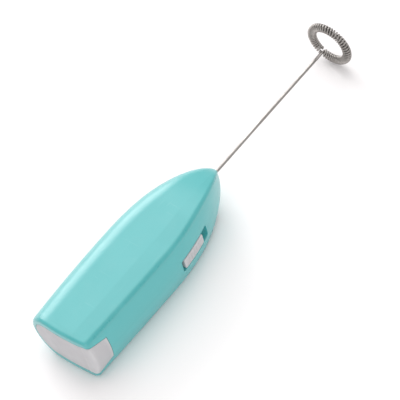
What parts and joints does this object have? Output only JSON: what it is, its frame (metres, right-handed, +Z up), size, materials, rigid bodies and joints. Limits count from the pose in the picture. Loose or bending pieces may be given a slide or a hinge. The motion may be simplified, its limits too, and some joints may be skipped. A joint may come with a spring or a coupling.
{
  "type": "battery milk frother",
  "caption": "Hand-held battery milk frother: flat turquoise handle with a pointed nose, side thumb slide, grey end door and a wire whisk with a coiled ring.",
  "frame": {"origin": "middle of the object's length and width, at the height of its flat underside", "axes": "+Y from the butt along the handle to the whisk, +X to the side with the thumb slide, +Z up"},
  "size_m": [0.0382, 0.19, 0.0248],
  "materials": {
    "shell_plastic": "satin turquoise moulding",
    "grey_plastic": "light grey moulding",
    "inner_plastic": "off-white moulding",
    "whisk_steel": "bright drawn wire",
    "contact_nickel": "nickel plated",
    "contact_brass": "bare brass",
    "screw_steel": "zinc plated",
    "cell_wrap": "printed film, plain",
    "motor_steel": "zinc plated",
    "magnet_ferrite": "dark sintered",
    "rotor_copper": "enamelled copper wire on a steel core",
    "bush_rubber": "black",
    "lead_red": "red insulation",
    "lead_black": "black insulation"
  },
  "bodies": {
    "handle": {"upper_shell": "shell_plastic", "lower_shell": "shell_plastic", "bulkhead": "inner_plastic", "cradle_upper": "inner_plastic", "cradle_lower": "inner_plastic", "switch_base": "inner_plastic", "motor_end_cap": "inner_plastic", "front_spring": "contact_nickel", "front_plus_plate": "contact_nickel", "front_plus_stud": "contact_nickel", "front_minus_plate": "contact_nickel", "switch_leaf_upper": "contact_brass", "switch_leaf_lower": "contact_brass", "motor_terminal_plus": "contact_brass", "motor_terminal_minus": "contact_brass", "brush_left": "contact_brass", "brush_right": "contact_brass", "screw_rear_left": "screw_steel", "screw_front_left": "screw_steel", "screw_front_right": "screw_steel", "motor_can": "motor_steel", "magnet_left": "magnet_ferrite", "magnet_right": "magnet_ferrite", "nose_bush": "bush_rubber", "lead_plus": "lead_red", "lead_switch": "lead_red", "lead_minus": "lead_black"},
    "whisk": {"whisk_wire": "whisk_steel", "whisk_coil": "whisk_steel", "coupling_sleeve": "contact_brass", "motor_shaft": "motor_steel", "rotor_core": "rotor_copper", "commutator": "contact_brass"},
    "slide": {"slide_button": "grey_plastic", "switch_carrier": "inner_plastic", "switch_wiper": "contact_brass"},
    "door": {"battery_door": "grey_plastic", "door_bridge_plate": "contact_nickel", "door_spring": "contact_nickel"},
    "cells": {"cell_left": "cell_wrap", "cell_left_cap": "contact_nickel", "cell_right": "cell_wrap", "cell_right_cap": "contact_nickel"}
  },
  "joints": [
    {"name": "whisk_spin", "type": "hinge", "parent": "handle", "child": "whisk", "pos_m": [0, 0, 0.0124], "axis": [0, 1, 0], "continuous": true},
    {"name": "slide_travel", "type": "slide", "parent": "handle", "child": "slide", "axis": [0, 1, 0], "range_m": [0, 0.003]},
    {"name": "door_pull", "type": "slide", "parent": "handle", "child": "door", "axis": [0, -1, 0], "range_m": [0, 0.085]},
    {"name": "cells_out", "type": "slide", "parent": "handle", "child": "cells", "axis": [0, -1, 0], "range_m": [0, 0.0595]}
  ],
  "couplings": [
    {"joint": "cells_out", "follows": "door_pull", "ratio": 0.7}
  ]
}
